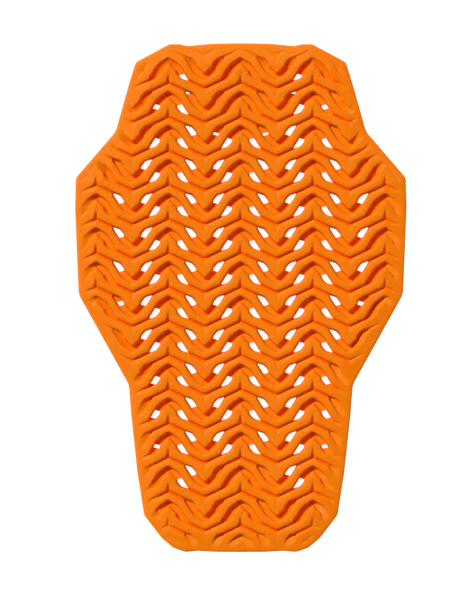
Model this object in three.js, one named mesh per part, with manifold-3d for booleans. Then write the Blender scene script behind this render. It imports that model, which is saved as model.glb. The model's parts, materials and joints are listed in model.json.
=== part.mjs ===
// A back protector: one pad of soft elastomer, moulded in one piece and lying on its back face.
// X runs across the back, Y from the waist up to the neck and Z away from the wearer.
// The origin is in the middle of the outline, on the back face.
// Rows of zigzag ribs stand between open slots and narrow creases. Vents go through the slots' floors.
import * as THREE from "three";
import { mergeVertices } from "three/addons/utils/BufferGeometryUtils.js";
import Module from "manifold-3d";

// Driving dimensions, in millimetres.
const LENGTH = 436; // from the waist edge to the neck edge
const WIDTH = 284; // across the shoulder blades
const THICKNESS = 14; // from the back face to the top of the ribs
const RIM_THICKNESS = 4.5; // at the outer edge
const RIM_TAPER = 18; // how far in from the edge the ribs reach their full height
const RIM_CHAMFER = 1; // along the edge of the back face
const WAVE_PITCH = 62; // from one crest of a rib to the next, across the back
const ROW_PITCH = 29.3; // from one row of ribs to the next, along the back
const ROW_OFFSET = 6.8; // from the origin up to the middle of the nearest row
const SLOT_DEPTH = 6; // below the top of the ribs
const SLOT_DRAFT = 1; // how far a slot's wall leans out on its way up
const CREASE_DEPTH = 3.5; // below the top of the ribs
const CREASE_WIDTH = 3; // at the top of the ribs
const NOTCH_LENGTH = 7.9; // the short crease that splits a rib under the point of a chevron
const ARC_STEP = 30; // the turn of one straight step along a rounded corner, in degrees
const CLEARANCE = 1; // how far a cutter reaches past what it cuts

// Corners of the right half of the outline, from the neck edge down to the waist edge.
// across and along are shares of half the width and half the length, and bend is a radius in millimetres.
const OUTLINE = [
  { across: 0.0, along: 1.0, bend: 200 },
  { across: 0.33, along: 0.987, bend: 15 },
  { across: 0.44, along: 0.993, bend: 8 },
  { across: 0.634, along: 0.922, bend: 8 },
  { across: 0.772, along: 0.64, bend: 22 },
  { across: 0.999, along: 0.475, bend: 12 },
  { across: 1.0, along: 0.33, bend: 100 },
  { across: 0.98, along: 0.022, bend: 26 },
  { across: 0.684, along: -0.336, bend: 20 },
  { across: 0.651, along: -0.56, bend: 100 },
  { across: 0.583, along: -0.852, bend: 22 },
  { across: 0.462, along: -0.96, bend: 30 },
  { across: 0.36, along: -0.998, bend: 20 },
  { across: 0.26, along: -0.992, bend: 30 },
  { across: 0.0, along: -1.0, bend: 200 },
];

// The edges of one arm of a slot's floor, from the middle of the slot out to the tip of the arm.
// across is a share of half a wave, and along is a share of the row pitch above the middle of the row.
const SLOT_OUTER_EDGE = [
  { across: 0.0, along: 0.83 },
  { across: 0.25, along: 0.67 },
  { across: 0.558, along: 0.133 },
];
const SLOT_INNER_EDGE = [
  { across: 0.0, along: 0.665 },
  { across: 0.38, along: 0.18 },
  { across: 0.558, along: 0.133 },
];
const VENT_START = { outer: 0.365, inner: 0.2 }; // where a vent begins on each edge of its arm

// A crease runs from tip to tip of two slots and turns half way, in the same shares as a slot.
const CREASE_TURN = { across: 0.0, along: 0.068 };
const CREASE_END = { across: 0.442, along: -0.133 };

// Where the vents are. column counts half waves out from the middle: an even column has slots that
// point to the neck, and an odd one has slots that point to the waist. side 1 is the arm away from the
// middle of the back and -1 is the arm towards it. neck and waist are the highest and lowest place of
// a vent, as shares of half the length, and open is the share of the vent's length that is cut.
const VENTS = [
  { column: 0, side: 1, neck: 0.64, waist: -0.64, open: 1 },
  { column: 1, side: -1, neck: 0.57, waist: -0.6, open: 1 },
  { column: 1, side: 1, neck: 0.7, waist: -0.73, open: 1 },
  { column: 2, side: -1, neck: 0.78, waist: -0.78, open: 1 },
  { column: 2, side: 1, neck: 0.65, waist: -0.27, open: 1 },
  { column: 2, side: 1, neck: -0.27, waist: -0.53, open: 0.8 },
  { column: 3, side: -1, neck: 0.57, waist: -0.19, open: 1 },
  { column: 3, side: 1, neck: 0.43, waist: 0.08, open: 1 },
];

const HALF_WAVE = WAVE_PITCH / 2;
const SLOT_FLOOR = THICKNESS - SLOT_DEPTH;
const CREASE_FLOOR = THICKNESS - CREASE_DEPTH;
const CUTTER_TOP = THICKNESS + CLEARANCE;

const wasm = await Module();
wasm.setup();

function solidOf(geometry) {
  const bare = geometry.clone();
  bare.deleteAttribute("normal");
  bare.deleteAttribute("uv");
  const merged = mergeVertices(bare, 1e-4);
  return new wasm.Manifold(
    new wasm.Mesh({
      numProp: 3,
      vertProperties: merged.attributes.position.array,
      triVerts: new Uint32Array(merged.index.array),
    }),
  );
}

function geometryOf(solid) {
  const mesh = solid.getMesh();
  const geometry = new THREE.BufferGeometry();
  geometry.setAttribute(
    "position",
    new THREE.BufferAttribute(mesh.vertProperties, mesh.numProp),
  );
  geometry.setIndex(new THREE.BufferAttribute(mesh.triVerts, 1));
  geometry.computeVertexNormals();
  return geometry;
}

// A closed body through rings of points, each ring with as many points as the last, seen from above as
// counter-clockwise and listed from the lowest ring up, or from back to front.
function loft(rings) {
  const count = rings[0].length;
  const points = rings.flat();
  const faces = [];
  for (let level = 0; level + 1 < rings.length; level += 1) {
    for (let i = 0; i < count; i += 1) {
      const here = level * count + i;
      const next = level * count + ((i + 1) % count);
      faces.push([here, next, next + count], [here, next + count, here + count]);
    }
  }
  const last = (rings.length - 1) * count;
  for (const [a, b, c] of capOf(rings[0])) faces.push([c, b, a]);
  for (const [a, b, c] of capOf(rings.at(-1))) faces.push([a + last, b + last, c + last]);
  const geometry = new THREE.BufferGeometry().setFromPoints(points);
  geometry.setIndex(faces.flat());
  return geometry;
}

// The triangles that close a ring. A ring that stands upright is a plain triangle.
function capOf(ring) {
  if (ring.length === 3) return [[0, 1, 2]];
  return THREE.ShapeUtils.triangulateShape(
    ring.map((point) => new THREE.Vector2(point.x, point.y)),
    [],
  );
}

// Moves each edge of a counter-clockwise polygon outwards by a distance, and meets them again.
// A sharp corner moves no further than twice the distance.
function offsetPolygon(polygon, distance) {
  return polygon.map((corner, i) => {
    const before = polygon.at(i - 1);
    const after = polygon[(i + 1) % polygon.length];
    const arriving = outwardNormal(before, corner);
    const leaving = outwardNormal(corner, after);
    const spread = arriving.dot(leaving);
    const outward = arriving.add(leaving);
    const reach = Math.min(1 / (1 + spread), 2 / outward.length());
    return corner.clone().addScaledVector(outward, distance * reach);
  });
}

function outwardNormal(from, to) {
  const along = to.clone().sub(from).normalize();
  return new THREE.Vector2(along.y, -along.x);
}

function ringAt(polygon, height) {
  return polygon.map((point) => new THREE.Vector3(point.x, point.y, height));
}

// The outline as a counter-clockwise polygon, with each corner rounded by its own bend.
function outlinePolygon() {
  const right = OUTLINE.map((row) => ({
    at: new THREE.Vector2((row.across * WIDTH) / 2, (row.along * LENGTH) / 2),
    bend: row.bend,
  }));
  const left = right.slice(1, -1).map((row) => ({
    at: new THREE.Vector2(-row.at.x, row.at.y),
    bend: row.bend,
  }));
  const corners = [...right.toReversed(), ...left];
  return corners.flatMap((corner, i) =>
    roundedCorner(corners.at(i - 1).at, corner, corners[(i + 1) % corners.length].at),
  );
}

function roundedCorner(before, corner, after) {
  const back = before.clone().sub(corner.at);
  const ahead = after.clone().sub(corner.at);
  const half = back.angleTo(ahead) / 2;
  const room = Math.min(back.length(), ahead.length()) * 0.45;
  const bend = Math.min(corner.bend, room * Math.tan(half));
  const start = corner.at.clone().addScaledVector(back.normalize(), bend / Math.tan(half));
  const end = corner.at.clone().addScaledVector(ahead.normalize(), bend / Math.tan(half));
  const centre = corner.at
    .clone()
    .addScaledVector(back.add(ahead).normalize(), bend / Math.sin(half));
  const turn = Math.PI - 2 * half;
  const steps = Math.max(1, Math.round(THREE.MathUtils.radToDeg(turn) / ARC_STEP));
  const points = [];
  for (let step = 0; step <= steps; step += 1) {
    const spoke = start.clone().lerp(end, step / steps).sub(centre);
    points.push(centre.clone().addScaledVector(spoke.normalize(), bend));
  }
  return points;
}

// The flat slab that everything is cut from, with a chamfer round its back face.
function slab(outline) {
  return loft([
    ringAt(offsetPolygon(outline, -RIM_CHAMFER), 0),
    ringAt(outline, RIM_CHAMFER),
    ringAt(outline, THICKNESS),
  ]);
}

// One wedge for each edge of the outline takes off what stands above the slope of the rim.
function rimWedges(outline) {
  const rise = (THICKNESS - RIM_THICKNESS) / RIM_TAPER;
  const reach = RIM_TAPER + CLEARANCE;
  return outline.map((start, i) => {
    const end = outline[(i + 1) % outline.length];
    const normal = outwardNormal(start, end);
    const innerStart = rimCorner(outline.at(i - 1), start, end, normal, reach);
    const innerEnd = rimCorner(start, end, outline[(i + 2) % outline.length], normal, reach);
    const footprint = [
      start.clone().addScaledVector(normal, CLEARANCE),
      end.clone().addScaledVector(normal, CLEARANCE),
      innerEnd,
      innerStart,
    ];
    const low = RIM_THICKNESS - CLEARANCE * rise;
    const high = RIM_THICKNESS + reach * rise;
    const heights = [low, low, high, high];
    return loft([
      footprint.map((point, corner) => new THREE.Vector3(point.x, point.y, heights[corner])),
      ringAt(footprint, high + CLEARANCE),
    ]);
  });
}

// The inner end of a wedge: square to its edge, or on the bisector where the outline turns inwards.
function rimCorner(before, corner, after, normal, reach) {
  const arriving = outwardNormal(before, corner);
  const leaving = outwardNormal(corner, after);
  const turnsInwards = arriving.cross(leaving) < 0;
  const inward = turnsInwards
    ? arriving.clone().add(leaving).divideScalar(1 + arriving.dot(leaving))
    : normal.clone();
  return corner.clone().addScaledVector(inward, -reach);
}

// A point of the rib pattern, for a row whose middle is at y = 0 and a wave whose crest is at x = 0.
function patternPoint(share, side = 1) {
  return new THREE.Vector2(side * share.across * HALF_WAVE, share.along * ROW_PITCH);
}

// The point of a slot's edge at a place across its arm.
function edgePoint(edge, across) {
  const next = edge.findIndex((row) => row.across >= across - 1e-9);
  const to = edge[Math.max(next, 1)];
  const from = edge[Math.max(next, 1) - 1];
  const along = THREE.MathUtils.mapLinear(across, from.across, to.across, from.along, to.along);
  return { across, along };
}

// One slot, open to the top, with walls that lean outwards. Its arms fall away from the crest.
function slotCutter() {
  const right = [...SLOT_INNER_EDGE.slice(1), ...SLOT_OUTER_EDGE.slice(1, -1).toReversed()];
  const left = right.toReversed();
  const edges = [
    patternPoint(SLOT_INNER_EDGE[0]),
    ...right.map((row) => patternPoint(row)),
    patternPoint(SLOT_OUTER_EDGE[0]),
    ...left.map((row) => patternPoint(row, -1)),
  ];
  const lean = (SLOT_DRAFT * (CUTTER_TOP - SLOT_FLOOR)) / SLOT_DEPTH;
  return loft([ringAt(edges, SLOT_FLOOR), ringAt(offsetPolygon(edges, lean), CUTTER_TOP)]);
}

// A vent through one arm of a slot, as wide as the slot's floor. It ends at the tip of the arm, or
// short of it where only a share of its length is open.
function ventCutter(side, open) {
  const tip = SLOT_OUTER_EDGE.at(-1).across;
  const innerEnd = THREE.MathUtils.lerp(VENT_START.inner, tip, open);
  const outerEnd = THREE.MathUtils.lerp(VENT_START.outer, tip, open);
  const bends = SLOT_INNER_EDGE.filter(
    (row) => row.across > VENT_START.inner && row.across < innerEnd,
  );
  const corners = [edgePoint(SLOT_INNER_EDGE, VENT_START.inner), ...bends];
  corners.push(edgePoint(SLOT_INNER_EDGE, innerEnd));
  if (open < 1) corners.push(edgePoint(SLOT_OUTER_EDGE, outerEnd));
  corners.push(edgePoint(SLOT_OUTER_EDGE, VENT_START.outer));
  const footprint = corners.map((row) => patternPoint(row, side));
  if (side < 0) footprint.reverse();
  return loft([ringAt(footprint, -CLEARANCE), ringAt(footprint, SLOT_FLOOR + CLEARANCE)]);
}

// A V-shaped cut along a path whose points give the bottom of the V.
function creaseCutter(path) {
  const flare = CREASE_WIDTH / 2 / CREASE_DEPTH;
  const rings = path.map((point, i) => {
    const before = path[Math.max(i - 1, 0)];
    const after = path[Math.min(i + 1, path.length - 1)];
    const heading = new THREE.Vector2(after.x - before.x, after.y - before.y).normalize();
    const sideways = new THREE.Vector3(-heading.y, heading.x, 0);
    const half = (CUTTER_TOP - point.z) * flare;
    const top = new THREE.Vector3(point.x, point.y, CUTTER_TOP);
    return [
      top.clone().addScaledVector(sideways, half),
      top.clone().addScaledVector(sideways, -half),
      point,
    ];
  });
  return loft(rings);
}

function creaseAcross() {
  const turn = patternPoint(CREASE_TURN);
  const ends = [-1, 1].map((side) => patternPoint(CREASE_END, side));
  return creaseCutter(
    [ends[0], turn, ends[1]].map((point) => new THREE.Vector3(point.x, point.y, CREASE_FLOOR)),
  );
}

// The notch starts at the crease's turn and rises to the top of the rib.
function notch() {
  const turn = patternPoint(CREASE_TURN);
  return creaseCutter([
    new THREE.Vector3(turn.x, turn.y, CREASE_FLOOR),
    new THREE.Vector3(turn.x, turn.y + NOTCH_LENGTH, THICKNESS),
  ]);
}

// An odd column repeats the pattern of an even one, turned half way round.
function placed(geometry, column, rowMiddle) {
  const turned = column % 2 !== 0;
  const matrix = new THREE.Matrix4().makeRotationZ(turned ? Math.PI : 0);
  matrix.setPosition(column * HALF_WAVE, rowMiddle, 0);
  return geometry.clone().applyMatrix4(matrix);
}

function rowMiddles() {
  const middles = [];
  const rowsUp = Math.floor((LENGTH / 2 - ROW_OFFSET) / ROW_PITCH);
  const rowsDown = Math.floor((LENGTH / 2 + ROW_OFFSET) / ROW_PITCH);
  for (let row = rowsUp; row >= -rowsDown; row -= 1) middles.push(ROW_OFFSET + row * ROW_PITCH);
  return middles;
}

// How high the middle of a vent lies, for a row and a column of slots.
function ventHeight(column, rowMiddle) {
  const start = edgePoint(SLOT_OUTER_EDGE, VENT_START.outer);
  const lift = ((start.along + SLOT_OUTER_EDGE.at(-1).along) / 2) * ROW_PITCH;
  return column % 2 === 0 ? rowMiddle + lift : rowMiddle - lift;
}

function patternCutters() {
  const evenPieces = [slotCutter(), creaseAcross(), notch()];
  const oddPieces = [slotCutter(), creaseAcross()];
  const columns = Math.floor(WIDTH / 2 / HALF_WAVE);
  const cutters = [];
  for (const rowMiddle of rowMiddles()) {
    for (let column = -columns; column <= columns; column += 1) {
      const pieces = column % 2 === 0 ? evenPieces : oddPieces;
      for (const piece of pieces) cutters.push(placed(piece, column, rowMiddle));
    }
  }
  return cutters;
}

function ventCutters() {
  const cutters = [];
  for (const row of VENTS) {
    const turned = row.column % 2 !== 0;
    for (const rowMiddle of rowMiddles()) {
      const place = ventHeight(row.column, rowMiddle) / (LENGTH / 2);
      if (place > row.neck || place < row.waist) continue;
      for (const half of [-1, 1]) {
        const arm = turned ? -half * row.side : half * row.side;
        cutters.push(placed(ventCutter(arm, row.open), row.column * half, rowMiddle));
      }
    }
  }
  return cutters;
}

function padGeometry() {
  const outline = outlinePolygon();
  const cutters = [...rimWedges(outline), ...patternCutters(), ...ventCutters()];
  const joined = wasm.Manifold.union(cutters.map(solidOf));
  return geometryOf(solidOf(slab(outline)).subtract(joined));
}

const elastomer = new THREE.MeshStandardMaterial({
  name: "orange_elastomer",
  color: "#ff7d00",
  roughness: 0.55,
  metalness: 0,
});

const pad = new THREE.Mesh(padGeometry(), elastomer);
pad.name = "ribbed_pad";

const protector = new THREE.Group();
protector.name = "back_protector";
protector.add(pad);

export default protector;
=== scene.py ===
# %% [markdown]
# # A back protector in Blender
# The pad lies on its flat back and is seen from straight above. It is one moulding of soft orange
# elastomer: a smooth border nearly level with the ribs, rows of zigzag ribs, open slots and narrow
# creases between them, and slanted vents through the slots' floors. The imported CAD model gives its
# size and place. This lesson replaces that faceted model with one smooth mesh, which follows the
# photograph more closely.

import json
import math

import bpy
import numpy as np
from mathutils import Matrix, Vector
from mathutils.geometry import delaunay_2d_cdt

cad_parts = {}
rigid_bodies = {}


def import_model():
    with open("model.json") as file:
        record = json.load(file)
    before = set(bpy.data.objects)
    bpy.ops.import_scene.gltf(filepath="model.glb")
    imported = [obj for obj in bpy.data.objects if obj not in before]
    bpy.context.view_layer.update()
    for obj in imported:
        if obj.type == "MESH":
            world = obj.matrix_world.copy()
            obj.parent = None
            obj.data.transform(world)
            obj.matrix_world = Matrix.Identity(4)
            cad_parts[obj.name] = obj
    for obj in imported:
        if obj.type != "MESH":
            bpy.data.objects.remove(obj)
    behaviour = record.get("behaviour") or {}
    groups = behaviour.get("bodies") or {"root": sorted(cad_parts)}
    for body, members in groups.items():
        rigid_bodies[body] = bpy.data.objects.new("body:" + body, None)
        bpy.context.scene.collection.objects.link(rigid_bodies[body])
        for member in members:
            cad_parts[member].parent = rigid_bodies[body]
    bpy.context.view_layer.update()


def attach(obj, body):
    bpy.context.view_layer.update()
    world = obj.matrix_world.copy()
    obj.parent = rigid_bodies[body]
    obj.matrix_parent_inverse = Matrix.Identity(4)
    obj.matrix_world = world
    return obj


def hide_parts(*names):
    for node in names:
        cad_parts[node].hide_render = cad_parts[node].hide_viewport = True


# Blender's own first objects are removed, so that only the model's parts are left.
bpy.data.batch_remove(list(bpy.data.objects))
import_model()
MM = 0.001

# %% [markdown]
# ## The outline
# The real pad is cut by its mould's rim, so its edge is a clean line with rounded corners. One half
# of it is written down as a short table of corners with the radius of each bend, and the other half
# is its mirror image. Straight runs are divided into short steps, so that the mesh can follow.

# %% Corners of the right half of the outline, from the neck to the waist, in millimetres
OUTLINE = [
    {"across": 0.0, "along": 217.6, "bend": 100.0},
    {"across": 24.0, "along": 217.2, "bend": 100.0},
    {"across": 46.0, "along": 215.2, "bend": 6.0},
    {"across": 52.5, "along": 216.8, "bend": 6.0},
    {"across": 61.2, "along": 216.8, "bend": 4.5},
    {"across": 90.0, "along": 201.3, "bend": 6.0},
    {"across": 95.2, "along": 184.8, "bend": 40.0},
    {"across": 107.3, "along": 141.8, "bend": 14.0},
    {"across": 141.3, "along": 102.4, "bend": 7.0},
    {"across": 142.0, "along": 77.0, "bend": 60.0},
    {"across": 138.9, "along": 2.5, "bend": 14.0},
    {"across": 95.9, "along": -75.0, "bend": 13.0},
    {"across": 94.0, "along": -100.0, "bend": 60.0},
    {"across": 88.6, "along": -150.0, "bend": 80.0},
    {"across": 82.9, "along": -186.5, "bend": 8.0},
    {"across": 68.0, "along": -206.0, "bend": 20.0},
    {"across": 57.9, "along": -214.5, "bend": 8.0},
    {"across": 47.5, "along": -218.2, "bend": 8.0},
    {"across": 37.0, "along": -217.2, "bend": 15.0},
    {"across": 20.0, "along": -218.1, "bend": 60.0},
    {"across": 0.0, "along": -218.2, "bend": 100.0},
]
print("corners of one half:", len(OUTLINE))

# %% A closed line with rounded corners
OUTLINE_STEP = 1.6
ARC_STEP = math.radians(14)
ARC_SHARE_OF_RUN = 0.48
SMALLEST_RADIUS = 1e-6
NEARLY_STRAIGHT = math.radians(89.8)


def unit(vector):
    return vector / np.hypot(*vector)


def arc_at(before, corner, after, bend):
    """Points of the arc that rounds a corner."""
    back = before - corner
    ahead = after - corner
    half = math.acos(np.clip(unit(back) @ unit(ahead), -1, 1)) / 2
    room = min(np.hypot(*back), np.hypot(*ahead)) * ARC_SHARE_OF_RUN
    run = min(bend / math.tan(half), room)
    radius = run * math.tan(half)
    if radius < SMALLEST_RADIUS or half > NEARLY_STRAIGHT:
        return [corner]
    centre = corner + unit(unit(back) + unit(ahead)) * (radius / math.sin(half))
    start = corner + unit(back) * run
    end = corner + unit(ahead) * run
    turn = math.pi - 2 * half
    count = max(2, round(turn / ARC_STEP))
    spokes = [start + (end - start) * i / count - centre for i in range(count + 1)]
    return [centre + unit(spoke) * radius for spoke in spokes]


def divided(points, step, closed=True):
    """The same line with points no further apart than the step."""
    line = list(points)
    ends = line[1:] + line[:1] if closed else line[1:]
    out = []
    for here, there in zip(line, ends):
        count = max(1, math.ceil(np.hypot(*(there - here)) / step))
        out += [here + (there - here) * i / count for i in range(count)]
    if not closed:
        out.append(line[-1])
    return np.array(out)


def rounded(corners, step):
    """A closed line through rounded corners, each given as (x, y, bend)."""
    places = [np.array(corner[:2], float) for corner in corners]
    points = []
    for i, corner in enumerate(corners):
        after = places[(i + 1) % len(places)]
        points += arc_at(places[i - 1], places[i], after, corner[2])
    return divided(points, step)


right_half = [(row["across"], row["along"], row["bend"]) for row in reversed(OUTLINE)]
left_half = [(-x, y, bend) for x, y, bend in reversed(right_half[1:-1])]
outline = rounded(right_half + left_half, OUTLINE_STEP)
print("outline:", len(outline), "points,", np.ptp(outline, axis=0).round(1), "mm")

# %% [markdown]
# ## The slots, the creases and the vents
# Each row of the pattern repeats one wave. A wide slot runs over each crest of a rib and ends in a
# tip on both sides, and a narrow crease joins the tips. Half a wave further on, the same shapes are
# turned half way round, so they are described once. A vent is the part of a slot's floor that is
# cut through. Written as rows of a table, each edge stays easy to correct against a photograph.

# %% The slot's floor and the crease, in millimetres from the middle of a row on a crest
WAVE = 61.88
HALF_WAVE = WAVE / 2
ROW_PITCH = 29.15
FIRST_ROW = 35.4
SLOT_OUTER = [
    {"across": 0.0, "along": 23.6, "bend": 2.5},
    {"across": 6.5, "along": 19.3, "bend": 6.0},
    {"across": 9.4, "along": 16.6, "bend": 6.0},
    {"across": 16.35, "along": 5.7, "bend": 0.8},
]
SLOT_INNER = [
    {"across": 0.0, "along": 20.3, "bend": 0.6},
    {"across": 7.35, "along": 12.8, "bend": 1.0},
    {"across": 7.75, "along": 10.4, "bend": 3.0},
    {"across": 11.1, "along": 6.4, "bend": 4.0},
    {"across": 16.4, "along": 4.6, "bend": 0.5},
]
CREASE = [(-15.6, -5.1), (0.0, 2.4), (15.6, -5.1)]
NOTCH = [(0.0, 2.4), (0.0, 10.0)]
CREASE_CENTRE = 2.0
FEATURE_STEP = 1.45


def corners_of(rows, side=1):
    return [(side * row["across"], row["along"], row["bend"]) for row in rows]


slot_corners = corners_of(SLOT_INNER)
slot_corners += corners_of(reversed(SLOT_OUTER[1:]))
slot_corners += corners_of(SLOT_OUTER, -1)
slot_corners += corners_of(reversed(SLOT_INNER[1:]), -1)
slot = rounded(slot_corners, FEATURE_STEP)
crease = divided([np.array(point) for point in CREASE], FEATURE_STEP, closed=False)
notch = divided([np.array(point) for point in NOTCH], FEATURE_STEP, closed=False)
print("slot:", len(slot), "points; crease:", len(crease), "points")

# %% Where the vents are, by column of half waves and height of their middle in millimetres
# side 1 is the arm of a slot away from the pad's middle line and -1 the arm towards it. A vent
# covers its arm from one share of its length to another, counted from the slot's middle. A row of
# the table stands for every vent whose middle lies between its bottom and its top.
VENT_MIDDLE = 9.3
VENTS = [
    {"column": 0, "side": 1, "top": 140, "bottom": -138, "start": 0.0, "end": 1.0},
    {"column": 1, "side": -1, "top": 124, "bottom": -130, "start": 0.0, "end": 1.0},
    {"column": 1, "side": -1, "top": 152, "bottom": 136, "start": 0.0, "end": 0.22},
    {"column": 1, "side": 1, "top": 152, "bottom": -158, "start": 0.0, "end": 1.0},
    {"column": 1, "side": 1, "top": 182, "bottom": 164, "start": 0.7, "end": 1.0},
    {"column": 2, "side": -1, "top": 170, "bottom": -170, "start": 0.0, "end": 1.0},
    {"column": 2, "side": -1, "top": 200, "bottom": 182, "start": 0.34, "end": 1.0},
    {"column": 2, "side": 1, "top": 140, "bottom": -58, "start": 0.0, "end": 1.0},
    {"column": 2, "side": 1, "top": 170, "bottom": 152, "start": 0.0, "end": 0.4},
    {"column": 2, "side": 1, "top": -58, "bottom": -116, "start": 0.0, "end": 0.68},
    {"column": 2, "side": 1, "top": -120, "bottom": -140, "start": 0.0, "end": 0.3},
    {"column": 3, "side": -1, "top": 124, "bottom": -42, "start": 0.0, "end": 1.0},
    {"column": 3, "side": 1, "top": 95, "bottom": 14, "start": 0.0, "end": 1.0},
    {"column": 3, "side": 1, "top": 10, "bottom": -14, "start": 0.0, "end": 0.31},
]
print("rows in the table of vents:", len(VENTS))

# %% The vents
VENT_HEAD = {"at": (9.4, 13.1), "along": (0.26, -0.966)}
VENT_LENGTH = 10.5
ARM_START = np.array([0.5, 0.0])
OUTWARDS = np.array([1.0, 0.0])
ROWS = {"above": 6, "below": 9}
COLUMNS_EACH_SIDE = 5
row_middles = [FIRST_ROW - ROW_PITCH * k for k in range(-ROWS["above"], ROWS["below"] + 1)]
columns = range(-COLUMNS_EACH_SIDE, COLUMNS_EACH_SIDE + 1)


def placed(points, column, middle):
    """Moves a shape to its column and row. Odd columns have it turned half way round."""
    turn = -1 if column % 2 else 1
    return np.asarray(points) * turn + (column * HALF_WAVE, middle)


def clipped(line, point, direction):
    """The part of a closed line that lies ahead of a point in a direction."""
    ahead = (line - point) @ direction
    out = []
    for i, here in enumerate(line):
        j = (i + 1) % len(line)
        if ahead[i] >= 0:
            out.append(here)
        if (ahead[i] >= 0) != (ahead[j] >= 0):
            share = ahead[i] / (ahead[i] - ahead[j])
            out.append(here + (line[j] - here) * share)
    return np.array(out)


def vent_shape(side, start, end):
    """The part of one arm of the slot's floor between two cuts across it, counter-clockwise."""
    head = np.array(VENT_HEAD["at"])
    along = np.array(VENT_HEAD["along"])
    # A nearly level cut would catch both arms, so the slot is first cut down to one.
    arm = clipped(slot, ARM_START, OUTWARDS)
    shape = clipped(arm, head + along * VENT_LENGTH * start, along)
    if end < 1:
        shape = clipped(shape, head + along * VENT_LENGTH * end, -along)
    return shape if side > 0 else shape[::-1] * (-1, 1)


vents = []
for row in VENTS:
    turned = row["column"] % 2 == 1
    for middle in row_middles:
        place = middle - VENT_MIDDLE if turned else middle + VENT_MIDDLE
        if not row["bottom"] < place < row["top"]:
            continue
        for half in (-1, 1):
            arm = row["side"] * half * (-1 if turned else 1)
            shape = vent_shape(arm, row["start"], row["end"])
            vents.append(placed(shape, row["column"] * half, middle))
print("vents:", len(vents))

# %% [markdown]
# ## How far each point is from a slot, a crease and the rim
# The top of the pad is a height field: from above every place has one height. That height follows
# from three distances, so they are worked out first, for many points at once. Only the nearest two
# columns and rows can matter to a point, which keeps the work small. For the rim the outline's
# straight runs stay whole, which is quicker and gives the same distance.


# %% Distances
def distance_to(points, line, closed=True):
    """Distance from each point to a line, and whether the point lies inside it."""
    ends = np.roll(line, -1, axis=0) if closed else line[1:]
    nearest = np.full(len(points), np.inf)
    inside = np.zeros(len(points), bool)
    x, y = points.T
    for (ax, ay), (bx, by) in zip(line, ends):
        dx, dy = bx - ax, by - ay
        share = np.clip(((x - ax) * dx + (y - ay) * dy) / (dx * dx + dy * dy), 0, 1)
        gap = (x - ax - share * dx) ** 2 + (y - ay - share * dy) ** 2
        nearest = np.minimum(nearest, gap)
        if closed and dy:
            crosses = (ay > y) != (by > y)
            inside ^= crosses & (x < ax + (y - ay) * dx / dy)
    return np.sqrt(nearest), inside


def local_places(points, centre):
    """The points as seen from the nearest columns and rows of a shape centred at that height."""
    for column_step in (0, 1):
        column = np.floor(points[:, 0] / HALF_WAVE) + column_step
        turn = np.where(column % 2 == 1, -1, 1)
        row = np.floor((points[:, 1] - FIRST_ROW - turn * centre) / ROW_PITCH)
        for row_step in (0, 1):
            middle = FIRST_ROW + (row + row_step) * ROW_PITCH
            x = (points[:, 0] - column * HALF_WAVE) * turn
            y = (points[:, 1] - middle) * turn
            yield np.stack([x, y], axis=1), turn < 0


def slot_distance(points):
    """Distance to the nearest slot's floor, negative over the floor."""
    best = np.full(len(points), np.inf)
    for local, _ in local_places(points, slot[:, 1].mean()):
        gap, inside = distance_to(local, slot)
        best = np.minimum(best, np.where(inside, -gap, gap))
    return best


def crease_distance(points, paths=(CREASE, NOTCH)):
    """Distance to the bottom of the nearest crease or notch."""
    best = np.full(len(points), np.inf)
    for local, _ in local_places(points, CREASE_CENTRE):
        for path in paths:
            gap, _ = distance_to(local, np.array(path), closed=False)
            best = np.minimum(best, gap)
    return best


LONGER_THAN_ANY_RUN = 1000.0
coarse_outline = rounded(right_half + left_half, LONGER_THAN_ANY_RUN)


def rim_distance(points):
    """How far inside the outline each point is, negative outside it."""
    gap, inside = distance_to(points, coarse_outline)
    return np.where(inside, gap, -gap)


pad_middle = np.zeros((1, 2))
print("the pad's middle is", round(float(rim_distance(pad_middle)[0]), 1), "mm from the rim")


# %% [markdown]
# ## The height of the moulding
# The ribs have one height, and the border lies almost level with them: in the photograph it is as
# bright as the ribs' tops all the way round, which a sloping border wouldn't be. Towards the border
# the slots and creases grow shallow and fade out. The ribs' edges are gently rounded, because a
# sharp edge in soft elastomer would tear. A floor's depth is counted from the rounded edge beside
# it, so it ends up a little lower than its named height.

# %% Heights, in millimetres above the back face
TOP = 14.0
RIM_HEIGHT = 11.8
RIM_TAPER = 17.0
RIM_ROUND = 1.3
GROOVES_START = 4.0
GROOVES_FULL = 17.0
GROOVES_CURVE = 1.4
SLOT_FLOOR = 8.8
SLOT_LEAN = 1.15
CREASE_FLOOR = 10.2
CREASE_HALF = 1.3
CREASE_CURVE = 1.2
NOTCH_HALF = {"low": 2.3, "high": 0.9}
VALLEY_SHARE = 0.12
BY_SLOT = [{"drop": 0.2, "width": 3.0}, {"drop": 0.35, "width": 0.7}]
BY_CREASE = [{"drop": 0.5, "width": 3.2}, {"drop": 0.3, "width": 0.7}]


def notch_depth(points):
    """How deep the notch over a crest is. It runs out upwards, and a valley has only a trace of it."""
    (_, low), (_, high) = NOTCH
    deepest = np.zeros(len(points))
    for local, turned in local_places(points, CREASE_CENTRE):
        x, y = local.T
        share = np.clip((y - low) / (high - low), 0, 1)
        gap = np.hypot(x, y - np.clip(y, low, high))
        half = NOTCH_HALF["low"] + (NOTCH_HALF["high"] - NOTCH_HALF["low"]) * share
        depth = (TOP - CREASE_FLOOR) * (1 - share**2) * np.clip(1 - gap / half, 0, 1)
        deepest = np.maximum(deepest, np.where(turned, VALLEY_SHARE, 1) * depth)
    return deepest


def edge_drop(gap, parts):
    """How far a rib has sunk at a distance in from its edge."""
    return sum(part["drop"] * (1 - np.clip(gap / part["width"], 0, 1)) ** 2 for part in parts)


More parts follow.
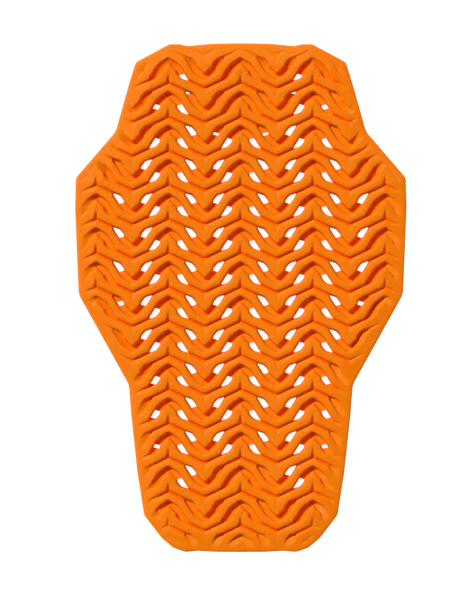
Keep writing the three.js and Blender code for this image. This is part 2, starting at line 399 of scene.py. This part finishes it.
def heights(points):
    """The height of the top at each point."""
    rim = rim_distance(points)
    slot_gap = slot_distance(points)
    crease_gap = crease_distance(points, (CREASE,))
    rise = TOP - RIM_HEIGHT
    envelope = RIM_HEIGHT + rise * np.clip(rim / RIM_TAPER, 0, 1)
    share = np.clip((rim - GROOVES_START) / (GROOVES_FULL - GROOVES_START), 0, 1)
    grown = share**GROOVES_CURVE
    lip = np.clip(1 - rim / RIM_ROUND, 0, 1)
    envelope -= RIM_ROUND * (1 - np.sqrt(1 - lip * lip))
    by_slot = edge_drop(slot_gap - SLOT_LEAN, BY_SLOT)
    by_crease = edge_drop(crease_gap - CREASE_HALF, BY_CREASE)
    top = envelope - np.maximum(by_slot, by_crease) * grown
    slot_depth = (TOP - SLOT_FLOOR) * (1 - np.clip(slot_gap / SLOT_LEAN, 0, 1))
    out = np.clip(crease_gap / CREASE_HALF, 0, 1)
    crease_depth = (TOP - CREASE_FLOOR) * (1 - out**CREASE_CURVE)
    deepest = np.max([slot_depth, crease_depth, notch_depth(points)], axis=0)
    return top - deepest * grown


print("height at the pad's middle:", round(float(heights(pad_middle)[0]), 2), "mm")


# %% [markdown]
# ## Points for the mesh
# A mesh shows a rounded edge well only if its points follow that edge. So rings of points run
# round each slot and along each crease at chosen distances, closer together where the surface
# turns, and a plain grid fills the tops of the ribs. Rings that mark a hard turn also become edges.

# %% Rings of points
SLOT_RINGS = [0.0, SLOT_LEAN, SLOT_LEAN + 0.4, SLOT_LEAN + 0.9, SLOT_LEAN + 1.9]
CREASE_RINGS = [0.0, 0.65, CREASE_HALF, CREASE_HALF + 0.4, CREASE_HALF + 1.1]
RIM_RINGS = [0.35, 0.8, 1.4, 3.0, 5.0, 7.0]
RING_SLACK = {"least": 0.04, "share": 0.05}
RIM_SLACK = 0.05
PATTERN_MARGIN = 4.0


def shifted(line, distance, closed=True):
    """The line moved sideways, to its right."""
    if closed:
        heading = np.roll(line, -1, axis=0) - np.roll(line, 1, axis=0)
    else:
        heading = np.gradient(line, axis=0)
    heading /= np.hypot(*heading.T)[:, None]
    return line + distance * np.stack([heading[:, 1], -heading[:, 0]], axis=1)


def all_placed(line):
    """A shape at every column and row, as one array of lines."""
    return np.array([placed(line, column, row) for row in row_middles for column in columns])


points = [outline]
edges = [(i, (i + 1) % len(outline)) for i in range(len(outline))]
count = len(outline)


def add_lines(lines, distance, measure, closed, as_edges):
    """Adds copies of a line, without the points that lie nearer to another shape."""
    global count
    flat = lines.reshape(-1, 2)
    slack = RING_SLACK["least"] + RING_SLACK["share"] * distance
    true_place = np.abs(measure(flat) - distance) < slack
    keep = (true_place & (rim_distance(flat) > PATTERN_MARGIN)).reshape(lines.shape[:2])
    number = np.cumsum(keep.ravel()).reshape(keep.shape) + count - 1
    points.append(flat[keep.ravel()])
    count += int(keep.sum())
    if as_edges:
        after = np.roll(np.arange(lines.shape[1]), -1)
        joined = keep & keep[:, after]
        if not closed:
            joined[:, -1] = False
        edges.extend(zip(number[joined].tolist(), number[:, after][joined].tolist()))


for distance in SLOT_RINGS:
    ring = shifted(slot, distance)
    add_lines(all_placed(ring), distance, slot_distance, True, distance in (0.0, SLOT_LEAN))
for distance in CREASE_RINGS:
    for side in (-1, 1) if distance else (1,):
        for line in (crease, notch):
            moved = shifted(line, distance * side, closed=False)
            is_edge = distance in (0.0, CREASE_HALF)
            add_lines(all_placed(moved), distance, crease_distance, False, is_edge)
for distance in RIM_RINGS:
    ring = shifted(outline, -distance)
    points.append(ring[np.abs(rim_distance(ring) - distance) < RIM_SLACK])
    count += len(points[-1])
print("ring points:", count, "edges:", len(edges))

# %% A grid of points on the ribs, in rows that make nearly equilateral triangles
GRID_STEP = 2.5
GRID_REACH = {"across": 145, "along": 220}
TRIANGLE_HEIGHT = 0.866
RIM_CLEARANCE = 1
RING_CLEARANCE = 0.8
xs = np.arange(-GRID_REACH["across"], GRID_REACH["across"], GRID_STEP)
ys = np.arange(-GRID_REACH["along"], GRID_REACH["along"], GRID_STEP * TRIANGLE_HEIGHT)
grid = np.array([(x + (j % 2) * GRID_STEP / 2, y) for j, y in enumerate(ys) for x in xs])
grid = grid[rim_distance(grid) > RIM_RINGS[-1] + RIM_CLEARANCE]
clear_of_slots = slot_distance(grid) > SLOT_RINGS[-1] + RING_CLEARANCE
clear_of_creases = crease_distance(grid) > CREASE_RINGS[-1] + RING_CLEARANCE
grid = grid[clear_of_slots & clear_of_creases]
points.append(grid)
count += len(grid)
print("with the grid:", count)

# %% [markdown]
# ## Triangles
# Blender's constrained Delaunay triangulation joins scattered points into well shaped triangles
# and keeps given edges. The outline and each vent go in as faces. Whatever lies in a vent is left
# out again, which opens the hole.

# %% The top face
# 1 is the triangulation's own code for keeping only what lies inside the given faces.
KEEP_INSIDE = 1
MERGE_BELOW = {"top": 1e-5, "back": 1e-6}
faces = [list(range(len(outline)))]
for vent in vents:
    faces.append(list(range(count, count + len(vent))))
    points.append(vent)
    count += len(vent)
flat_points = np.concatenate(points)
flat_top = [Vector(point) for point in flat_points]
result = delaunay_2d_cdt(flat_top, edges, faces, KEEP_INSIDE, MERGE_BELOW["top"])
plan = np.array([tuple(vertex) for vertex in result[0]])
inside_only = [face for face, source in zip(result[2], result[5]) if source == [0]]
top_faces = np.array(inside_only)
print("top face:", len(plan), "points,", len(top_faces), "triangles")

# %% [markdown]
# ## From a flat plan to a closed moulding
# Every edge that has a triangle on one side only belongs to the outline or to a vent. From there a
# wall goes straight down, because a moulding has to come off its pins, and ends in a small chamfer.
# The flat back closes the body. Sharing points between top, walls and back keeps the mesh
# watertight. The triangulation takes what lies to the left of a face's edges as its inside, so for
# the back the vents' loops, which run clockwise, are turned round.

# %% The loops round the outline and the vents
BACK_CHAMFER = 0.5
directed = np.concatenate([top_faces[:, [0, 1]], top_faces[:, [1, 2]], top_faces[:, [2, 0]]])
known = set(map(tuple, directed.tolist()))
following = {a: b for a, b in known if (b, a) not in known}
loops = []
while following:
    start, here = following.popitem()
    loop = [start]
    while here != start:
        loop.append(here)
        here = following.pop(here)
    loops.append(loop)
loops.sort(key=len, reverse=True)
print("loops:", len(loops), "longest:", len(loops[0]))

# %% The walls
used, top_numbers = np.unique(top_faces, return_inverse=True)
renumbered = {int(old): new for new, old in enumerate(used)}
top_numbers = top_numbers.reshape(top_faces.shape)
tops = plan[used]
vertices = [np.column_stack([tops, heights(tops)])]
total = len(tops)
all_faces = top_numbers.tolist()
back_loops = []
back_points = []
for loop in loops:
    size = len(loop)
    line = plan[loop]
    above = [renumbered[number] for number in loop]
    edge = list(range(total, total + size))
    foot = list(range(total + size, total + 2 * size))
    inset = shifted(line, -BACK_CHAMFER)
    vertices.append(np.column_stack([line, np.full(size, BACK_CHAMFER)]))
    vertices.append(np.column_stack([inset, np.zeros(size)]))
    total += 2 * size
    for i in range(size):
        j = (i + 1) % size
        all_faces.append([above[j], above[i], edge[i], edge[j]])
        all_faces.append([edge[j], edge[i], foot[i], foot[j]])
    numbers = list(range(len(back_points), len(back_points) + size))
    back_loops.append(numbers if loop is loops[0] else numbers[::-1])
    back_points += list(zip(inset.tolist(), foot))
print("with the walls:", total, "points,", len(all_faces), "faces")

# %% The back
flat_back = [Vector(place) for place, _ in back_points]
back = delaunay_2d_cdt(flat_back, [], back_loops, KEEP_INSIDE, MERGE_BELOW["back"])
back_numbers = [back_points[source[0]][1] for source in back[3]]
back_faces = [face for face, source in zip(back[2], back[5]) if source == [0]]
for face in back_faces:
    all_faces.append([back_numbers[number] for number in reversed(face)])
print("back:", len(back[0]), "of", len(back_points), "points,", len(back_faces), "triangles")

# %% The mesh
SHARP_FROM = math.radians(50)
mesh = bpy.data.meshes.new("pad")
mesh.from_pydata((np.concatenate(vertices) * MM).tolist(), [], all_faces)
mesh.shade_smooth()
mesh.set_sharp_from_angle(angle=SHARP_FROM)
pad = bpy.data.objects.new("pad", mesh)
bpy.context.scene.collection.objects.link(pad)
triangle_count = sum(len(face) - 2 for face in all_faces)
print("pad:", len(mesh.vertices), "points,", triangle_count, "triangles")

# %% [markdown]
# ## The elastomer
# The real pad is poured or injected in a soft, energy absorbing elastomer, coloured through with
# orange pigment. Light goes a little way in before it comes out, most of all red light, so thin
# places glow and the shadows in the slots turn a deep red instead of black. Subsurface scattering
# gives that. The skin copies the fine blasted grain of a metal mould, which makes highlights broad.


# %% Colours and nodes
def srgb(code):
    """A hex colour as shown on a screen, turned into linear light."""
    parts = [int(code[i : i + 2], 16) / 255 for i in (1, 3, 5)]
    linear = [p / 12.92 if p <= 0.04045 else ((p + 0.055) / 1.055) ** 2.4 for p in parts]
    return (*linear, 1.0)


def add_node(tree, kind, settings=None, links=None):
    """Adds a node. Settings name its sockets or its own options, and links feed its sockets."""
    node = tree.nodes.new(kind)
    for name, value in (settings or {}).items():
        if name in node.inputs:
            node.inputs[name].default_value = value
        else:
            setattr(node, name, value)
    for name, source in (links or {}).items():
        tree.links.new(source, node.inputs[name])
    return node


print("mid grey in linear light:", round(srgb("#808080")[0], 3))


# %% Orange elastomer, cast in a blasted mould
elastomer = bpy.data.materials.new("orange_elastomer")
elastomer.use_nodes = True
tree = elastomer.node_tree
tree.nodes.clear()
place = add_node(tree, "ShaderNodeTexCoord").outputs["Object"]
mottle = add_node(
    tree,
    "ShaderNodeTexNoise",
    {"Scale": 45.0, "Detail": 3.0, "Roughness": 0.55},
    {"Vector": place},
)
pigment = add_node(
    tree,
    "ShaderNodeMix",
    {"data_type": "RGBA"},
    {"Factor": mottle.outputs["Fac"]},
)
pigment.inputs["A"].default_value = srgb("#FF7C00")
pigment.inputs["B"].default_value = srgb("#FF8700")
grain = add_node(
    tree,
    "ShaderNodeTexNoise",
    {"Scale": 2600.0, "Detail": 2.0, "Roughness": 0.6},
    {"Vector": place},
)
relief = add_node(
    tree,
    "ShaderNodeBump",
    {"Strength": 0.25, "Distance": 0.00006},
    {"Height": grain.outputs["Fac"]},
)
sheen = add_node(
    tree,
    "ShaderNodeMapRange",
    {"To Min": 0.44, "To Max": 0.58},
    {"Value": mottle.outputs["Fac"]},
)
skin = add_node(
    tree,
    "ShaderNodeBsdfPrincipled",
    {
        "IOR": 1.5,
        "Subsurface Weight": 0.4,
        "Subsurface Radius": (1.0, 0.3, 0.1),
        "Subsurface Scale": 0.003,
        "Specular IOR Level": 0.12,
    },
    {
        "Base Color": pigment.outputs["Result"],
        "Roughness": sheen.outputs["Result"],
        "Normal": relief.outputs["Normal"],
    },
)
add_node(tree, "ShaderNodeOutputMaterial", None, {"Surface": skin.outputs["BSDF"]})
mesh.materials.append(elastomer)
print("material:", elastomer.name, "with", len(tree.nodes), "nodes")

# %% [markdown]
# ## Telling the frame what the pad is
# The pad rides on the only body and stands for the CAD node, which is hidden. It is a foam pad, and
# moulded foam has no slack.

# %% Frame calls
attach(pad, "root")
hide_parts("ribbed_pad")
print("declared:", pad.name)

# %% [markdown]
# ## The table of light
# The photograph has a pure white ground with no shadow, and the same white shows through the
# vents. A product photographer gets that with a glowing table: a translucent sheet lit from below.
# Here it is a plane that gives off white light.

# %% A glowing table
TABLE_SIDE = 3.0
TABLE_GAP = 0.5
table_mesh = bpy.data.meshes.new("light_table")
half_side = TABLE_SIDE / 2
table_mesh.from_pydata(
    [(x * half_side, y * half_side, 0) for x, y in ((-1, -1), (1, -1), (1, 1), (-1, 1))],
    [],
    [(0, 1, 2, 3)],
)
table = bpy.data.objects.new("light_table", table_mesh)
table.location.z = -TABLE_GAP * MM
bpy.context.scene.collection.objects.link(table)
glow = bpy.data.materials.new("glowing_white")
glow.use_nodes = True
glow.node_tree.nodes.clear()
emission = add_node(
    glow.node_tree, "ShaderNodeEmission", {"Color": srgb("#FFFFFF"), "Strength": 1.1}
)
add_node(
    glow.node_tree, "ShaderNodeOutputMaterial", None, {"Surface": emission.outputs["Emission"]}
)
table_mesh.materials.append(glow)
print("table:", TABLE_SIDE, "m a side")

# %% [markdown]
# ## Light
# The photograph's shadows lie in the slots that rise to the right, and the slots that fall to the
# right are lit along their length. So the main light stands at the upper left, along those slots.
# It is small enough to leave fairly clear edges. A weak white surround fills the shadows a little.

# %% Key light and surround
KEY = {"across": -0.70, "along": 0.71, "elevation": 49.0, "strength": 3.36, "spread": 9.0}
key_data = bpy.data.lights.new("key", "SUN")
key_data.energy = KEY["strength"]
key_data.angle = math.radians(KEY["spread"])
key = bpy.data.objects.new("key", key_data)
climb = math.tan(math.radians(KEY["elevation"]))
towards = Vector((KEY["across"], KEY["along"], climb))
key.rotation_euler = towards.to_track_quat("Z", "Y").to_euler()
bpy.context.scene.collection.objects.link(key)
world = bpy.data.worlds.new("surround")
world.use_nodes = True
surround = world.node_tree.nodes["Background"]
surround.inputs["Color"].default_value = srgb("#FFFFFF")
surround.inputs["Strength"].default_value = 0.13
bpy.context.scene.world = world
print("key light:", KEY["strength"], "and surround:", surround.inputs["Strength"].default_value)

# %% [markdown]
# ## Camera
# The rows in the photograph keep one pitch from neck to waist, so it was taken from far away,
# straight above. A long lens at a distance gives the same view.

# %% A long lens straight above
MM_PER_PIXEL = 0.8563
IMAGE_HEIGHT = 600
AIM = {"across": -2.4, "along": -2.36}
camera_data = bpy.data.cameras.new("camera")
camera_data.lens = 300.0
camera_data.sensor_width = 36.0
camera = bpy.data.objects.new("camera", camera_data)
view_height = IMAGE_HEIGHT * MM_PER_PIXEL * MM
distance = view_height * camera_data.lens / camera_data.sensor_width
camera.location = (AIM["across"] * MM, AIM["along"] * MM, distance + RIM_HEIGHT * MM)
bpy.context.scene.collection.objects.link(camera)
bpy.context.scene.camera = camera
bpy.context.scene.view_settings.view_transform = "Standard"
print("camera:", round(distance, 2), "m above the pad")
